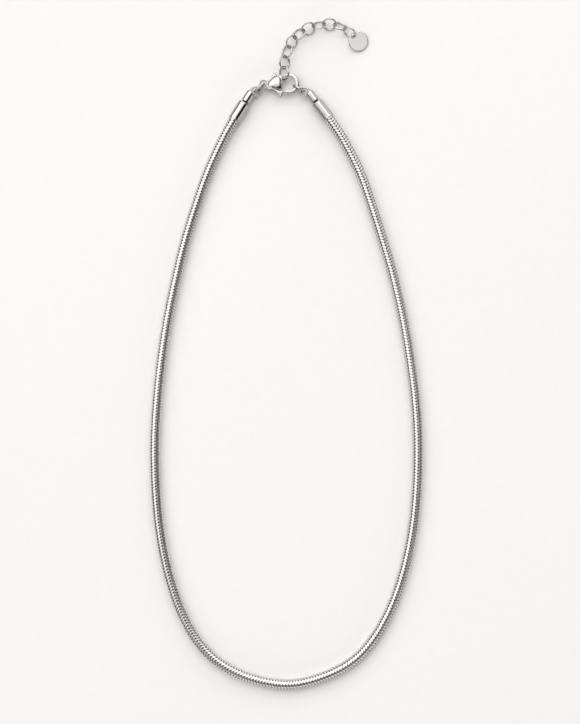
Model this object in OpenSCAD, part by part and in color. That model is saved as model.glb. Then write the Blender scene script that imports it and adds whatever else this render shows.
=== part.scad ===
// Round snake chain necklace with a lobster clasp and an extender chain that ends in a blank disc.
// It lies flat on the plane z = 0, closed, in the teardrop that it takes on a table.

/* [Snake chain] */
// Outer diameter of the snake chain
chain_d = 3.2; // [2.6:0.1:3.6]

/* [End caps] */
// Length of each end cap's barrel
cap_len = 6.5; // [5.5:0.1:8]
// Wall of the barrel round the snake chain
cap_wall = 0.25; // [0.2:0.05:0.4]
// Height of the rolled lip round the barrel's mouth
cap_lip_h = 0.08; // [0.05:0.01:0.15]
// Length of that lip
cap_lip_len = 0.35; // [0.25:0.05:0.5]
// Play between the snake chain and its cap
cap_play = 0.1; // [0.1:0.01:0.2]
// Thickness of the cap's closed end
cap_end_t = 1.2; // [0.9:0.1:1.8]
// Width of the chamfer round the closed end
cap_chamfer = 0.35; // [0.1:0.05:0.5]
// Diameter of the post between barrel and eye
post_d = 2.9; // [2.4:0.1:3.1]
// Length of the thin groove between barrel and post
groove_len = 0.4; // [0.3:0.05:0.6]
// Depth of that groove below the post
groove_depth = 0.5; // [0.2:0.05:0.6]
// Distance from the barrel's end to the middle of the eye
cap_eye_reach = 4.8; // [4.6:0.1:5.4]
// Shift of the eye towards the inside of the necklace
cap_eye_shift = 0.9; // [0.6:0.05:1]
// Lean of the eye's hole towards the inside of the necklace
cap_eye_lean = 16; // [0:1:20]
// Diameter of the hole in the eye
cap_eye_d = 2.1; // [2:0.05:2.3]
// Wall of the eye
cap_eye_wall = 0.6; // [0.5:0.05:0.65]
// Height of the eye along its hole
cap_eye_t = 1.4; // [1.2:0.1:1.6]

/* [Jump rings] */
// Wire diameter of the two jump rings
jump_wire = 0.7; // [0.6:0.05:0.75]
// Inner diameter of the two jump rings
jump_id = 3.2; // [3:0.05:3.3]
// Space between a ring's wire and the far side of the hook or eye that it pulls on
ring_rest = 0.19; // [0.15:0.01:0.25]

/* [Clasp] */
// Diameter of the opening inside the hook
hook_id = 4.4; // [4.2:0.1:4.6]
// Width of the hook's wire, seen from above
hook_w = 1.2; // [1:0.05:1.3]
// Height of the hook's wire
hook_t = 1.5; // [1.3:0.05:1.6]
// Distance from the opening's centre to the clasp's eye
clasp_reach = 8; // [7.8:0.1:8.4]
// Shift of the clasp's long axis below the opening's centre
clasp_drop = 0.3; // [0.1:0.05:0.4]
// Distance of the lever's hinge from the middle of the clasp's eye, along the clasp
hinge_reach = 2; // [1.95:0.05:2.2]
// Distance of the lever's hinge below the clasp's long axis
hinge_drop = 1; // [0.95:0.05:1.1]
// Diameter of the hole in the clasp's eye
clasp_eye_d = 2.1; // [2:0.05:2.3]
// Wall of the clasp's eye
clasp_eye_wall = 0.55; // [0.5:0.05:0.6]
// Thickness of the palm at its middle
palm_t = 3.7; // [3.4:0.1:4]
// Half width of the palm, with the lever, at its widest
palm_r = 2.9; // [2.7:0.05:3]
// Height of the thumb fin above the palm's widest place
fin_h = 1.1; // [0.6:0.05:1.3]
// Thickness of the thumb fin
fin_t = 1; // [0.7:0.1:1.4]
// Length of the thumb fin's foot along the palm
fin_w = 1.7; // [1.5:0.1:1.9]

/* [Clasp lever] */
// Thickness of the lever
lever_t = 1.1; // [0.8:0.05:1.2]
// Play on each side of the lever in its slot
lever_play = 0.2; // [0.15:0.05:0.25]
// Radius of the lever's knuckle
knuckle_r = 0.5; // [0.46:0.01:0.54]
// Diameter of the hinge pin
pin_d = 0.45; // [0.4:0.05:0.5]
// Running clearance between hinge pin and lever, on the radius
pin_play = 0.04; // [0.02:0.01:0.08]
// Length of the lever's thumb nub below the lever
nub_h = 1.1; // [0.7:0.05:1.3]
// Radius of the nub's round end
nub_r = 0.5; // [0.4:0.05:0.6]

/* [Extender] */
// Wire diameter of the extender's links
link_wire = 0.56; // [0.5:0.02:0.6]
// Outer diameter of the extender's links
link_od = 4.78; // [4.72:0.02:4.9]

/* [Tag] */
// Diameter of the disc
tag_d = 6.4; // [6:0.1:8]
// Thickness of the disc
tag_t = 0.7; // [0.6:0.05:0.8]
// Diameter of the disc's hole
tag_hole_d = 1.6; // [1.5:0.05:1.7]
// Metal left between the hole and the disc's edge
tag_rim = 0.25; // [0.2:0.05:0.6]
// Rounding of the disc's edge
tag_round = 0.2; // [0.1:0.05:0.25]

/* [Hidden] */
$fn = 64;

// Columns of the tables below
X = 0;
Y = 1;

// The way that each cap points, and the way that each jump ring runs from the clasp to its cap
left_turn = 57.7;
right_turn = 128;
left_ring_turn = -141.34;
right_ring_turn = -27.32;

// The snake chain's route on the table from the left cap round to the right one, chosen by hand
chain_route = [
  [-20.3, 68.5], [-25.1, 58], [-29, 47], [-32.4, 36], [-35.1, 25], [-38, 11], [-40.1, -3],
  [-41.5, -17], [-42.1, -30], [-41.7, -44], [-40.4, -57], [-37.8, -70], [-33.8, -82],
  [-28.3, -92], [-21.3, -99], [-11.5, -103.8], [0, -105.8], [10.5, -103.8], [20.4, -99],
  [27.4, -92], [33.2, -82], [37.5, -70], [40.3, -57], [41.7, -44], [42.1, -30],
  [41.5, -17], [39.8, -3], [37.4, 11], [34.2, 25], [31, 36], [27.5, 47], [23.6, 58], [18.2, 68.5]
];
// Rings of the swept tube in each stretch between two points of the route
tube_steps = 2;
tube_sides = 8;
// Points of the route over which the snake chain comes down from a cap to the table
settle_points = 2;

// Middle of the hook's opening, and the clasp's turn on the table
clasp_at = [0.8, 86.45];
clasp_turn = 0;

// Middles of the extender's links from the hook to the tag, chosen by hand
link_route = [
  [-0.65, 89.85], [-0.6, 93.25], [0.25, 96.65], [1.75, 99.8], [4.1, 102.35],
  [7.1, 104.1], [10.4, 105.15], [13.85, 105.45], [17.2, 104.75], [20.15, 102.95]
];
// Lean of each link about its own run
link_lean = [-51, 47, -47, 46, -40, 41, -51, 43, -55, 62];
// Point inside the hook from which the first link runs
link_start = [0.6, 86.9];

// Cap sizes that follow
bore_r = chain_d / 2 + cap_play;
cap_r = bore_r + cap_wall;
cap_bore_len = cap_len - cap_end_t;
cap_z = cap_r + cap_lip_h;

// Clasp sizes that follow
hook_ir = hook_id / 2;
hook_or = hook_ir + hook_w;
hook_mr = hook_ir + hook_w / 2;
table_gap = 0.1;
clasp_z = max(palm_t / 2 + table_gap, cap_z);
slot_t = lever_t + 2 * lever_play;
knuckle_play = 0.12;
slot_r = knuckle_r + knuckle_play;
lug_wall = 0.12;
lug_r = slot_r + lug_wall;
lug_side_t = 0.45;
lug_t = slot_t + 2 * lug_side_t;
pin_seat_play = 0.01;
pin_seat_r = pin_d / 2 + pin_seat_play;
pivot = [hinge_reach - clasp_reach, -clasp_drop - hinge_drop];

// Ring and link sizes that follow
jump_r = (jump_id + jump_wire) / 2;
link_r = (link_od - link_wire) / 2;
// Distance of the right ring's nearer wire from the opening's centre: it lies in the hook
hook_rest = hook_ir - ring_rest - jump_wire / 2;

function unit(v) = v / norm(v);
function heading(turn) = [cos(turn), sin(turn)];
// Where a point in a cap's own frame lies on the table; side is 1 where the inside is on the cap's left
function on_cap(mouth, turn, along, inward, side) =
  mouth + heading(turn) * along + heading(turn + 90) * inward * side;

// The rings hold the caps' eyes, and each cap's mouth lies a cap's length back from its eye
clasp_eye = clasp_at + [-clasp_reach, -clasp_drop];
left_eye = clasp_eye + heading(left_ring_turn) * 2 * (jump_r - ring_rest);
right_eye = clasp_at + heading(right_ring_turn) * (hook_rest + 2 * jump_r + ring_rest);
eye_along = cap_len + cap_eye_reach;
left_mouth = on_cap(left_eye, left_turn, -eye_along, -cap_eye_shift, -1);
right_mouth = on_cap(right_eye, right_turn, -eye_along, -cap_eye_shift, 1);

// The tube's path between the two mouths; beyond them it runs straight to the bottoms of the bores
path = concat([left_mouth], chain_route, [right_mouth]);
last = len(path) - 1;
chain_start = on_cap(left_mouth, left_turn, cap_bore_len - cap_play, 0, 1);
chain_end = on_cap(right_mouth, right_turn, cap_bore_len - cap_play, 0, 1);
chain_r = chain_d / 2;

// Height of the tube's middle at a point of the path: a cap's at the mouths, then down to the table
function settle(i) = max(0, 1 - i / settle_points);
function path_z(i) = chain_r + (cap_z - chain_r) * settle(min(i, last - i));
function raised(p, z) = [p[X], p[Y], z];
function path_point(i) =
  i < 0 ? raised(chain_start, cap_z) : i > last ? raised(chain_end, cap_z) : raised(path[i], path_z(i));

// Smooth curve through four neighbouring points, and its direction
function curve(a, b, c, d, t) =
  0.5 * (2 * b + (c - a) * t + (2 * a - 5 * b + 4 * c - d) * t * t + (3 * b - a - 3 * c + d) * t * t * t);
function curve_slope(a, b, c, d, t) =
  0.5 * ((c - a) + 2 * (2 * a - 5 * b + 4 * c - d) * t + 3 * (3 * b - a - 3 * c + d) * t * t);
function at_path(i, t) =
  let (p = curve(path_point(i - 1), path_point(i), path_point(i + 1), path_point(i + 2), t))
  raised(p, max(p[2], chain_r));
function along_path(i, t) =
  unit(curve_slope(path_point(i - 1), path_point(i), path_point(i + 1), path_point(i + 2), t));

// One ring of the tube, round the point p and square to the direction d
function tube_ring(p, d) =
  let (side = unit(cross([0, 0, 1], d)), top = cross(d, side))
  [for (k = [0 : tube_sides - 1])
    let (a = 360 * k / tube_sides)
    p + chain_r * (cos(a) * side + sin(a) * top)];

module snake_chain() {
  stations = [for (i = [0 : last - 1], s = [0 : tube_steps - 1]) [i, s / tube_steps]];
  rings = concat(
    [tube_ring(path_point(-1), -raised(heading(left_turn), 0))],
    [for (q = stations) tube_ring(at_path(q[0], q[1]), along_path(q[0], q[1]))],
    [tube_ring(path_point(last), along_path(last - 1, 1))],
    [tube_ring(path_point(last + 1), raised(heading(right_turn), 0))]
  );
  n = len(rings);
  points = [for (ring = rings) each ring];
  sides = [for (j = [0 : n - 2], k = [0 : tube_sides - 1])
    let (m = (k + 1) % tube_sides)
    [j * tube_sides + k, (j + 1) * tube_sides + k, (j + 1) * tube_sides + m, j * tube_sides + m]];
  first_end = [for (k = [0 : tube_sides - 1]) k];
  last_end = [for (k = [tube_sides - 1 : -1 : 0]) (n - 1) * tube_sides + k];
  color("silver") polyhedron(points = points, faces = concat([first_end], sides, [last_end]));
}

// A wall with round ends, w wide and h high, whose middle is x from the axis
module stadium(x, w, h) {
  translate([x, 0]) {
    square([w, h - w], center = true);
    for (s = [-1, 1]) translate([0, s * (h - w) / 2]) circle(d = w);
  }
}

// An eye of round metal, with its hole along Z
module eye(hole_d, wall, height) {
  rotate_extrude() stadium((hole_d + wall) / 2, wall, height);
}

// Barrel, groove and post, turned about X
module cap_turned() {
  groove_r = post_d / 2 - groove_depth;
  // The post's straight stretch stops short of the eye's hole
  post_short = 0.5;
  post_end = eye_along - cap_eye_d / 2 - post_short;
  translate([post_end, 0, 0]) sphere(post_d / 2);
  rotate([90, 0, 90]) rotate_extrude() polygon([
    [0, cap_bore_len],
    [bore_r, cap_bore_len],
    [bore_r, 0],
    [cap_z, 0],
    [cap_z, cap_lip_len],
    [cap_r, cap_lip_len],
    [cap_r, cap_len - cap_chamfer],
    [cap_r - cap_chamfer, cap_len],
    [groove_r, cap_len],
    [groove_r, cap_len + groove_len],
    [post_d / 2, cap_len + groove_len],
    [post_d / 2, post_end],
    [0, post_end]
  ]);
}

// side is 1 where the inside of the necklace is on the cap's left
module end_cap(mouth, turn, side) {
  eye_at = [eye_along, side * cap_eye_shift, 0];
  color("silver") translate([mouth[X], mouth[Y], cap_z]) rotate(turn) {
    difference() {
      cap_turned();
      translate(eye_at) rotate([-side * cap_eye_lean, 0, 0])
        cylinder(d = cap_eye_d + cap_eye_wall, h = 2 * post_d, center = true);
    }
    translate(eye_at) rotate([-side * cap_eye_lean, 0, 0]) eye(cap_eye_d, cap_eye_wall, cap_eye_t);
  }
}

// A jump ring that stands upright, with its middle at p and its run along turn
module jump_ring(p, turn) {
  color("silver") translate([p[X], p[Y], jump_r + jump_wire / 2]) rotate([90, 0, turn])
    rotate_extrude() translate([jump_r, 0]) circle(d = jump_wire);
}

function turn_of(v) = atan2(v[Y], v[X]);

module jump_ring_left() {
  jump_ring((left_eye + clasp_eye) / 2, left_ring_turn);
}

module jump_ring_right() {
  jump_ring(clasp_at + heading(right_ring_turn) * (hook_rest + jump_r), right_ring_turn);
}

// The palm is a teardrop turned about the clasp's long axis: its outline is an arc that grows
// from the neck, which starts in the eye's wall, to the widest place
neck_overlap = 0.2;
palm_from = -clasp_reach + clasp_eye_d / 2 + clasp_eye_wall - neck_overlap;
palm_neck_r = 0.942;
palm_wide_x = -2.3;
palm_run = palm_wide_x - palm_from;
palm_rise = palm_r - palm_neck_r;
palm_arc = (palm_run * palm_run + palm_rise * palm_rise) / (2 * palm_rise);
lens_r = 3.3;
// Where the palm's flat end face stands in the opening, how it is turned, and the bevel round it
palm_face_at = [0.25 - hook_ir, 0.3];
palm_face_turn = 9;
palm_bevel = 0.9;

// The hook runs from inside the palm over the top and round to its tip
hook_from = 150;
hook_tip = -116;
// Thickness that the hook keeps at its root, above the opening's square corner
hook_root_t = 0.62;

// Outlines of the cheeks and the lever: the first column is a share of the way from the hinge
// to the hook's tip along the clasp, the second a share of the fall between them
hook_end = hook_mr * heading(hook_tip);
function by_lever(share, fall) =
  [pivot[X] + share * (hook_end[X] - pivot[X]), pivot[Y] + fall * (hook_end[Y] - pivot[Y])];
cheek_edge = [[0.126, -0.288], [0.335, 0], [0.503, 0.288], [0.775, 0.534], [0.911, 0.657]];
lever_top = [[0.335, 0.181], [0.503, 0.534], [0.775, 0.863], [0.939, 0.986]];
lever_tip = [[0.89, 1.602], [0.817, 1.643]];
lever_back = [[0.461, 1.479], [0.21, 0.698]];
nub_share = 0.713;
slot_corner = [0.922, -0.575];
// Where on the knuckle the lever's upper and lower edges start
knuckle_top = 78;
knuckle_back = -128;

module palm_turned() {
  translate([0, -clasp_drop, 0]) rotate([90, 0, 90]) rotate_extrude() intersection() {
    translate([palm_r - palm_arc, palm_wide_x]) circle(palm_arc);
    translate([0, palm_from]) square([2 * palm_r, -palm_from]);
  }
}

// Rounded top and bottom of the palm
module palm_lens() {
  for (s = [-1, 1])
    intersection() {
      translate([0, -clasp_drop, s * (palm_t / 2 - lens_r)]) rotate([0, 90, 0])
        cylinder(r = lens_r, h = 3 * clasp_reach, center = true);
      translate([0, 0, s * palm_t]) cube([3 * clasp_reach, 6 * palm_r, 2 * palm_t], center = true);
    }
}

// Everything beyond the palm's end face, which is bevelled above and below
module beyond_palm() {
  flat_z = hook_t / 2 - 0.1;
  translate(palm_face_at) rotate(palm_face_turn) rotate([90, 0, 0])
    linear_extrude(6 * palm_r, center = true) polygon([
      [0, -flat_z],
      [0, flat_z],
      [-palm_bevel, palm_t / 2],
      [-palm_bevel, palm_t],
      [2 * palm_r, palm_t],
      [2 * palm_r, -palm_t],
      [-palm_bevel, -palm_t],
      [-palm_bevel, -palm_t / 2]
    ]);
}

// Everything below the cheeks' lower edges, where the lever shows
module below_cheeks() {
  edge = [for (p = cheek_edge) by_lever(p[X], p[Y])];
  corner = edge[len(edge) - 1];
  opening_y = -hook_ir / 2;
  linear_extrude(2 * palm_t, center = true) polygon(concat(edge, [
    [corner[X], opening_y],
    [0, opening_y],
    [0, -2 * palm_r],
    [-clasp_reach, -2 * palm_r],
    [-clasp_reach, pivot[Y] - slot_r]
  ]));
}

// Room in the palm for the lever from closed to open
module lever_slot() {
  slot_end = by_lever(slot_corner[X], slot_corner[Y]);
  translate(pivot) cylinder(r = slot_r, h = slot_t, center = true);
  linear_extrude(slot_t, center = true) polygon([
    [pivot[X], pivot[Y] + slot_r],
    slot_end,
    [slot_end[X], -2 * palm_r],
    [pivot[X], -2 * palm_r]
  ]);
}

module hook() {
  root_y = sqrt(hook_or * hook_or - palm_face_at[X] * palm_face_at[X]) - hook_root_t;
  difference() {
    rotate(hook_tip) rotate_extrude(angle = hook_from - hook_tip)
      stadium(hook_mr, hook_w, hook_t);
    translate(palm_face_at) rotate(palm_face_turn) translate([0, 0, -hook_t])
      cube([-palm_face_at[X], root_y - palm_face_at[Y], 2 * hook_t]);
  }
}

// Rows of the fin's outline below its round tip: how far down, then the left and the right edge
// as shares of the foot's length from the fin's middle
fin_rows = [[0.25, -0.17, 0.18], [0.68, -0.36, 0.29], [1.7, -0.59, 0.43], [2.7, -0.56, 0.43]];

module fin() {
  top = palm_r - clasp_drop + fin_h;
  tip_r = 0.35;
  fin_x = (palm_from + palm_wide_x) / 2;
  left = [for (row = fin_rows) [row[1] * fin_w, top - row[0]]];
  right = [for (i = [len(fin_rows) - 1 : -1 : 0]) [fin_rows[i][2] * fin_w, top - fin_rows[i][0]]];
  translate([fin_x, 0]) {
    translate([0, top - tip_r]) cylinder(r = tip_r, h = fin_t, center = true);
    linear_extrude(fin_t, center = true) polygon(concat(left, right));
  }
}

module clasp_body() {
  neck_r = 0.75;
  color("silver") translate([clasp_at[X], clasp_at[Y], clasp_z]) rotate(clasp_turn) {
    difference() {
      union() {
        difference() {
          intersection() {
            palm_turned();
            palm_lens();
          }
          below_cheeks();
          beyond_palm();
        }
        hook();
        translate([palm_from, -clasp_drop, 0]) rotate([0, 90, 0])
          cylinder(r = neck_r, h = 2 * neck_r, center = true);
        translate(pivot) cylinder(r = lug_r, h = lug_t, center = true);
        fin();
      }
      lever_slot();
      translate(pivot) cylinder(r = pin_seat_r, h = 2 * lug_t, center = true);
      translate([-clasp_reach, -clasp_drop, 0])
        cylinder(r = (clasp_eye_d + clasp_eye_wall) / 2, h = 2 * hook_t, center = true);
    }
    translate([-clasp_reach, -clasp_drop, 0]) eye(clasp_eye_d, clasp_eye_wall, hook_t);
  }
}

module clasp_pin() {
  color("silver") translate([clasp_at[X], clasp_at[Y], clasp_z]) rotate(clasp_turn)
    translate(pivot) cylinder(d = pin_d, h = lug_t, center = true);
}

// The arm from its knuckle to the hook's tip, and the thumb nub below it
module clasp_lever() {
  tip = [for (p = lever_tip) by_lever(p[X], p[Y])];
  nub_x = by_lever(nub_share, 0)[X];
  nub_y = tip[1][Y] - nub_h + 1.2 * nub_r;
  color("silver") translate([clasp_at[X], clasp_at[Y], clasp_z]) rotate(clasp_turn)
    difference() {
      union() {
        translate(pivot) cylinder(r = knuckle_r, h = lever_t, center = true);
        translate([nub_x, nub_y]) cylinder(r = nub_r, h = lever_t, center = true);
        linear_extrude(lever_t, center = true) polygon(concat(
          [pivot + knuckle_r * heading(knuckle_top)],
          [for (p = lever_top) by_lever(p[X], p[Y])],
          tip,
          [[nub_x + 0.95 * nub_r, nub_y], [nub_x - 0.9 * nub_r, nub_y]],
          [for (p = lever_back) by_lever(p[X], p[Y])],
          [pivot + knuckle_r * heading(knuckle_back)]
        ));
      }
      translate(pivot) cylinder(r = pin_d / 2 + pin_play, h = 2 * lever_t, center = true);
    }
}

// Links are numbered from 1, at the hook; each leans about its own run and rests on the table
tag_way = unit([1.75, -1.05]);
link_line = concat([link_start], link_route, [link_route[len(link_route) - 1] + tag_way]);
function link_z(i) = link_r * sin(abs(link_lean[i - 1])) + link_wire / 2;
module extender_link(i) {
  way = link_line[i + 1] - link_line[i - 1];
  p = link_line[i];
  color("silver") translate([p[X], p[Y], link_z(i)])
    rotate([0, 0, turn_of(way)]) rotate([link_lean[i - 1], 0, 0])
      rotate_extrude() translate([link_r, 0]) circle(d = link_wire);
}

// The last link lifts the disc at its hole; the far edge lies on the table
tag_turn = -45;
tag_tilt = 12;
// The link's wire passes through the hole a little inside its own outer end
tag_hole_at = link_route[len(link_route) - 1] + heading(tag_turn + 2) * (link_r - 0.2);
tag_hole_reach = tag_d / 2 - tag_rim - tag_hole_d / 2;

module tag() {
  r = tag_d / 2;
  // Height of the disc's middle with its far lower edge on the table
  mid_z = (r - tag_round) * sin(tag_tilt) + (tag_t / 2 - tag_round) * cos(tag_tilt) + tag_round;
  color("gainsboro")
    translate([tag_hole_at[X], tag_hole_at[Y], mid_z])
      rotate(tag_turn) translate([tag_hole_reach * cos(tag_tilt), 0, 0]) rotate([0, tag_tilt, 0])
        difference() {
          rotate_extrude() {
            square([r - tag_round, tag_t / 2]);
            translate([0, -tag_t / 2]) square([r - tag_round, tag_t / 2]);
            translate([0, tag_round - tag_t / 2]) square([r, tag_t - 2 * tag_round]);
            for (s = [-1, 1]) translate([r - tag_round, s * (tag_t / 2 - tag_round)]) circle(tag_round);
          }
          translate([-tag_hole_reach, 0, 0]) cylinder(d = tag_hole_d, h = 4 * tag_t, center = true);
        }
}

snake_chain();
end_cap(left_mouth, left_turn, -1);  // end_cap_left
end_cap(right_mouth, right_turn, 1);  // end_cap_right
jump_ring_left();
jump_ring_right();
clasp_body();
clasp_pin();
clasp_lever();
extender_link(1);  // extender_link_1
extender_link(2);  // extender_link_2
extender_link(3);  // extender_link_3
extender_link(4);  // extender_link_4
extender_link(5);  // extender_link_5
extender_link(6);  // extender_link_6
extender_link(7);  // extender_link_7
extender_link(8);  // extender_link_8
extender_link(9);  // extender_link_9
extender_link(10);  // extender_link_10
tag();
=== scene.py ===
"""Snake chain necklace of polished stainless steel, lying closed on a pale table, seen from above.

Lengths are millimetres and angles are degrees, as on a jeweller's drawing, until put() turns the
points of a piece into metres. The table, the lights and the camera are in metres from the start.
The places of the caps, rings, clasp, links and tag are the part's own.
"""
import math

import bpy
import numpy as np
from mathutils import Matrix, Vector


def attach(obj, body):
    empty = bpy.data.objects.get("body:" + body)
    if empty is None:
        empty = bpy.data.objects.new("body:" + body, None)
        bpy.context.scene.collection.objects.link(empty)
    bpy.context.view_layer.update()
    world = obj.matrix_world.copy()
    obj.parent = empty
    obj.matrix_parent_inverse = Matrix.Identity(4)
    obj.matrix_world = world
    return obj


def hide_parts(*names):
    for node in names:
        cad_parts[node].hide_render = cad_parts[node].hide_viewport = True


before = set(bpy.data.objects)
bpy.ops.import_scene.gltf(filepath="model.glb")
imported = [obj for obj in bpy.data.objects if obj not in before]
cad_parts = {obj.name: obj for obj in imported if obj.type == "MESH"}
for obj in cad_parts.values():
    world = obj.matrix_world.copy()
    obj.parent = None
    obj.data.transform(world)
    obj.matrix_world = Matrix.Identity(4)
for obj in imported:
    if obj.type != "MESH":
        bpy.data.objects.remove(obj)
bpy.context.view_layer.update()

# Chain and end caps
CHAIN_D = 3.2
CAP_LEN = 6.5
CAP_WALL = 0.25
CAP_PLAY = 0.1  # between the chain and a cap's bore
CAP_LIP_H = 0.08  # how far the lip at the mouth stands out
CAP_LIP_LEN = 0.35
CAP_MOUTH_X = -0.01  # the mouth's face stands a hair before its set point
CAP_END_T = 1.2  # solid end behind the bore
CAP_CHAMFER = 0.35
POST_D = 2.9
POST_SHORT = 0.5  # the post's round end starts this far before the eye's hole
GROOVE_LEN = 0.4
GROOVE_DEPTH = 0.5
CAP_EYE_REACH = 4.8  # from the barrel's end to the middle of the eye
CAP_EYE_SHIFT = 0.9  # the eye's middle lies this far beside the barrel's axis
CAP_EYE_LEAN = 16
CAP_EYE_D = 2.1
CAP_EYE_WALL = 0.6
CAP_EYE_T = 1.4

# Jump rings
JUMP_WIRE = 0.7
JUMP_ID = 3.2
RING_REST = 0.19  # play of a ring's wire in an eye and in the hook
UPRIGHT = 90

# Clasp, in a frame of its own: the hook's middle is its origin, and the eye lies towards -X
HOOK_ID = 4.4
HOOK_W = 1.2  # width of the band, seen from above
HOOK_T = 1.5
HOOK_EDGE = (0.2, 0.5)  # rounding of the band's inner and outer edges
HOOK_FROM = 150  # the hook's root and tip, as turns round its middle
HOOK_TIP = -116
HOOK_ROOT_T = 0.62  # what is left of the band where it leaves the palm
CLASP_REACH = 8  # from the hook's middle to the eye's
CLASP_DROP = 0.3  # the eye and the palm lie this far below the hook's middle
CLASP_EYE_D = 2.1
CLASP_EYE_WALL = 0.55
NECK_R = 0.75
NECK_OVERLAP = 0.2  # the palm starts this far inside the eye's wall
PALM_T = 3.7
PALM_R = 2.9  # widest half of the teardrop, seen from above
PALM_NECK_R = 0.942
PALM_WIDE_X = -2.3
PALM_LENS_R = 3.3  # the palm's section is a lens of two arcs
PALM_LENS_BLEND = 0.3
PALM_CROWN_Z = 1.6  # top of the dome, its place along the clasp, and its radius
PALM_CROWN_X = -4.1
PALM_CROWN_R = 12
PALM_CROWN_BLEND = 0.7
PALM_FACE = (-1.95, 0.3)  # a point of the straight edge before the hook's opening, and its turn
PALM_FACE_TURN = 9
PALM_LIP = 0.45  # the dome rolls down this far before that edge, and a low lip goes on to it
PALM_ROLL = 1.0
PALM_LIP_T = 1.45
PALM_LIP_RUN = 1.2
PALM_LIP_EDGE = 0.2
CAST_EDGE = 0.4  # rounding of the fin's and the lever's edges
FIN_H = 1.1
FIN_T = 1.0
FIN_W = 1.7
FIN_TIP_R = 0.35
HINGE_REACH = 2  # the hinge lies this far from the eye's middle, towards the hook
HINGE_DROP = 1
LEVER_T = 1.1
LEVER_PLAY = 0.2  # on each side of the lever, in its slot
KNUCKLE_R = 0.5
KNUCKLE_PLAY = 0.12
KNUCKLE_TOP = 78  # where the arm's two edges leave the knuckle, as turns round the pin
KNUCKLE_BACK = -128
LUG_WALL = 0.12
LUG_SIDE = 0.45
PIN_D = 0.45
PIN_PLAY = 0.04
PIN_SEAT_PLAY = 0.01
NUB_H = 1.1
NUB_R = 0.5
NUB_RISE = 1.2  # in shares of the nub's radius: its middle over its foot, and its two shoulders
NUB_FRONT = 0.95
NUB_REAR = 0.9

# Extender links and tag
LINK_WIRE = 0.56
LINK_OD = 4.78
TAG_D = 6.4
TAG_T = 0.7
TAG_HOLE_D = 1.6
TAG_RIM = 0.25  # between the hole and the tag's edge
TAG_ROUND = 0.2
TAG_PLAY = 0.2  # the hole's middle lies this far inside the last link's wire

# Wavy links of the chain. A link's zigzag edge swings RIB_SWING pitches to each side, in RIB_WAVES
# waves round the chain. Their phase starts at TWIST_START and gains TWIST_GAIN along the chain.
RIB_PITCH = 0.96
RIB_WAVES = 4
RIB_SWING = 0.3
RIB_POINTED = 0.96  # 0 is a soft wave and 1 a sharp zigzag
TWIST_START = -40
TWIST_GAIN = -100
# One link in rows: share of the pitch, seam's depth, seam's painted shade, pit's depth, pit's painted
# shade.
RIB_ROWS = [
    (0.0, 0.1, 1.0, 0.04, 0.0),
    (0.07, 0.06, 0.7, 0.05, 0.3),
    (0.12, 0.012, 0.0, 0.07, 1.0),
    (0.27, 0.003, 0.0, 0.025, 0.8),
    (0.5, 0.0, 0.0, 0.0, 0.0),
    (0.73, 0.003, 0.0, 0.025, 0.8),
    (0.88, 0.012, 0.0, 0.07, 1.0),
    (0.93, 0.06, 0.7, 0.05, 0.3),
]
# Pits lie at the waves' points, where a wave passes PIT_FROM of its height, and their painted shade
# deepens fast.
PIT_FROM = 0.85
PIT_DARKENS = 1.6
CREASE = 30  # edges that turn by more than this stay sharp

# Painted shade in recesses. A point of a casting lies in a recess where the metal round it, averaged over
# RECESS_REACH, comes RECESS_FROM closer than round a flat, and its painted shade is darkest from
# RECESS_FULL.
RECESS_REACH = 0.25
RECESS_FROM = 0.01
RECESS_FULL = 0.045
# A ring is darkened with painted shade at both ends of its run, where the next piece touches it, from the
# share of its reach given first below, and on the wire's inside.
CONTACT_SHADE_FROM = 0.88
CONTACT_SHADE_FADE = 0.1
CONTACT_SHADE_INSIDE = 0.4

# Fineness of the meshes
CAP_STEP = 0.07
CLASP_BODY_STEP = 0.06
LEVER_STEP = 0.05
PIN_STEP = 0.04
TAG_STEP = 0.07
GRID_ROOM = 0.2  # a grid goes on this far outside its piece
CHAIN_AROUND = 48
RING_AROUND = 96
WIRE_AROUND = 24
LINE_POINTS = 40  # on the chain's middle line, from one set point to the next

# Places and turns on the table
CLASP_AT = np.array([0.8, 86.45])
LEFT_TURN = 57.7
RIGHT_TURN = 128
LEFT_RING_TURN = -141.34
RIGHT_RING_TURN = -27.32
CHAIN_ROUTE = [
    (-20.3, 68.5), (-25.1, 58), (-29, 47), (-32.4, 36), (-35.1, 25), (-38, 11), (-40.1, -3),
    (-41.5, -17), (-42.1, -30), (-41.7, -44), (-40.4, -57), (-37.8, -70), (-33.8, -82),
    (-28.3, -92), (-21.3, -99), (-11.5, -103.8), (0, -105.8), (10.5, -103.8), (20.4, -99),
    (27.4, -92), (33.2, -82), (37.5, -70), (40.3, -57), (41.7, -44), (42.1, -30),
    (41.5, -17), (39.8, -3), (37.4, 11), (34.2, 25), (31, 36), (27.5, 47), (23.6, 58), (18.2, 68.5),
]
SETTLE_POINTS = 2  # over so many points the chain comes down from a cap's height to the table
LINK_START = (0.6, 86.9)
LINK_ROUTE = [
    (-0.65, 89.85), (-0.6, 93.25), (0.25, 96.65), (1.75, 99.8), (4.1, 102.35),
    (7.1, 104.1), (10.4, 105.15), (13.85, 105.45), (17.2, 104.75), (20.15, 102.95),
]
LINK_LEAN = [-51, 47, -47, 46, -40, 41, -51, 43, -55, 62]  # each link's turn about its run
TAG_WAY = (1.75, -1.05)  # from the last link towards the tag
TAG_TURN = -45
TAG_HANG_TURN = -43  # from the last link's middle to the tag's hole
TAG_TILT = 12

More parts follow.
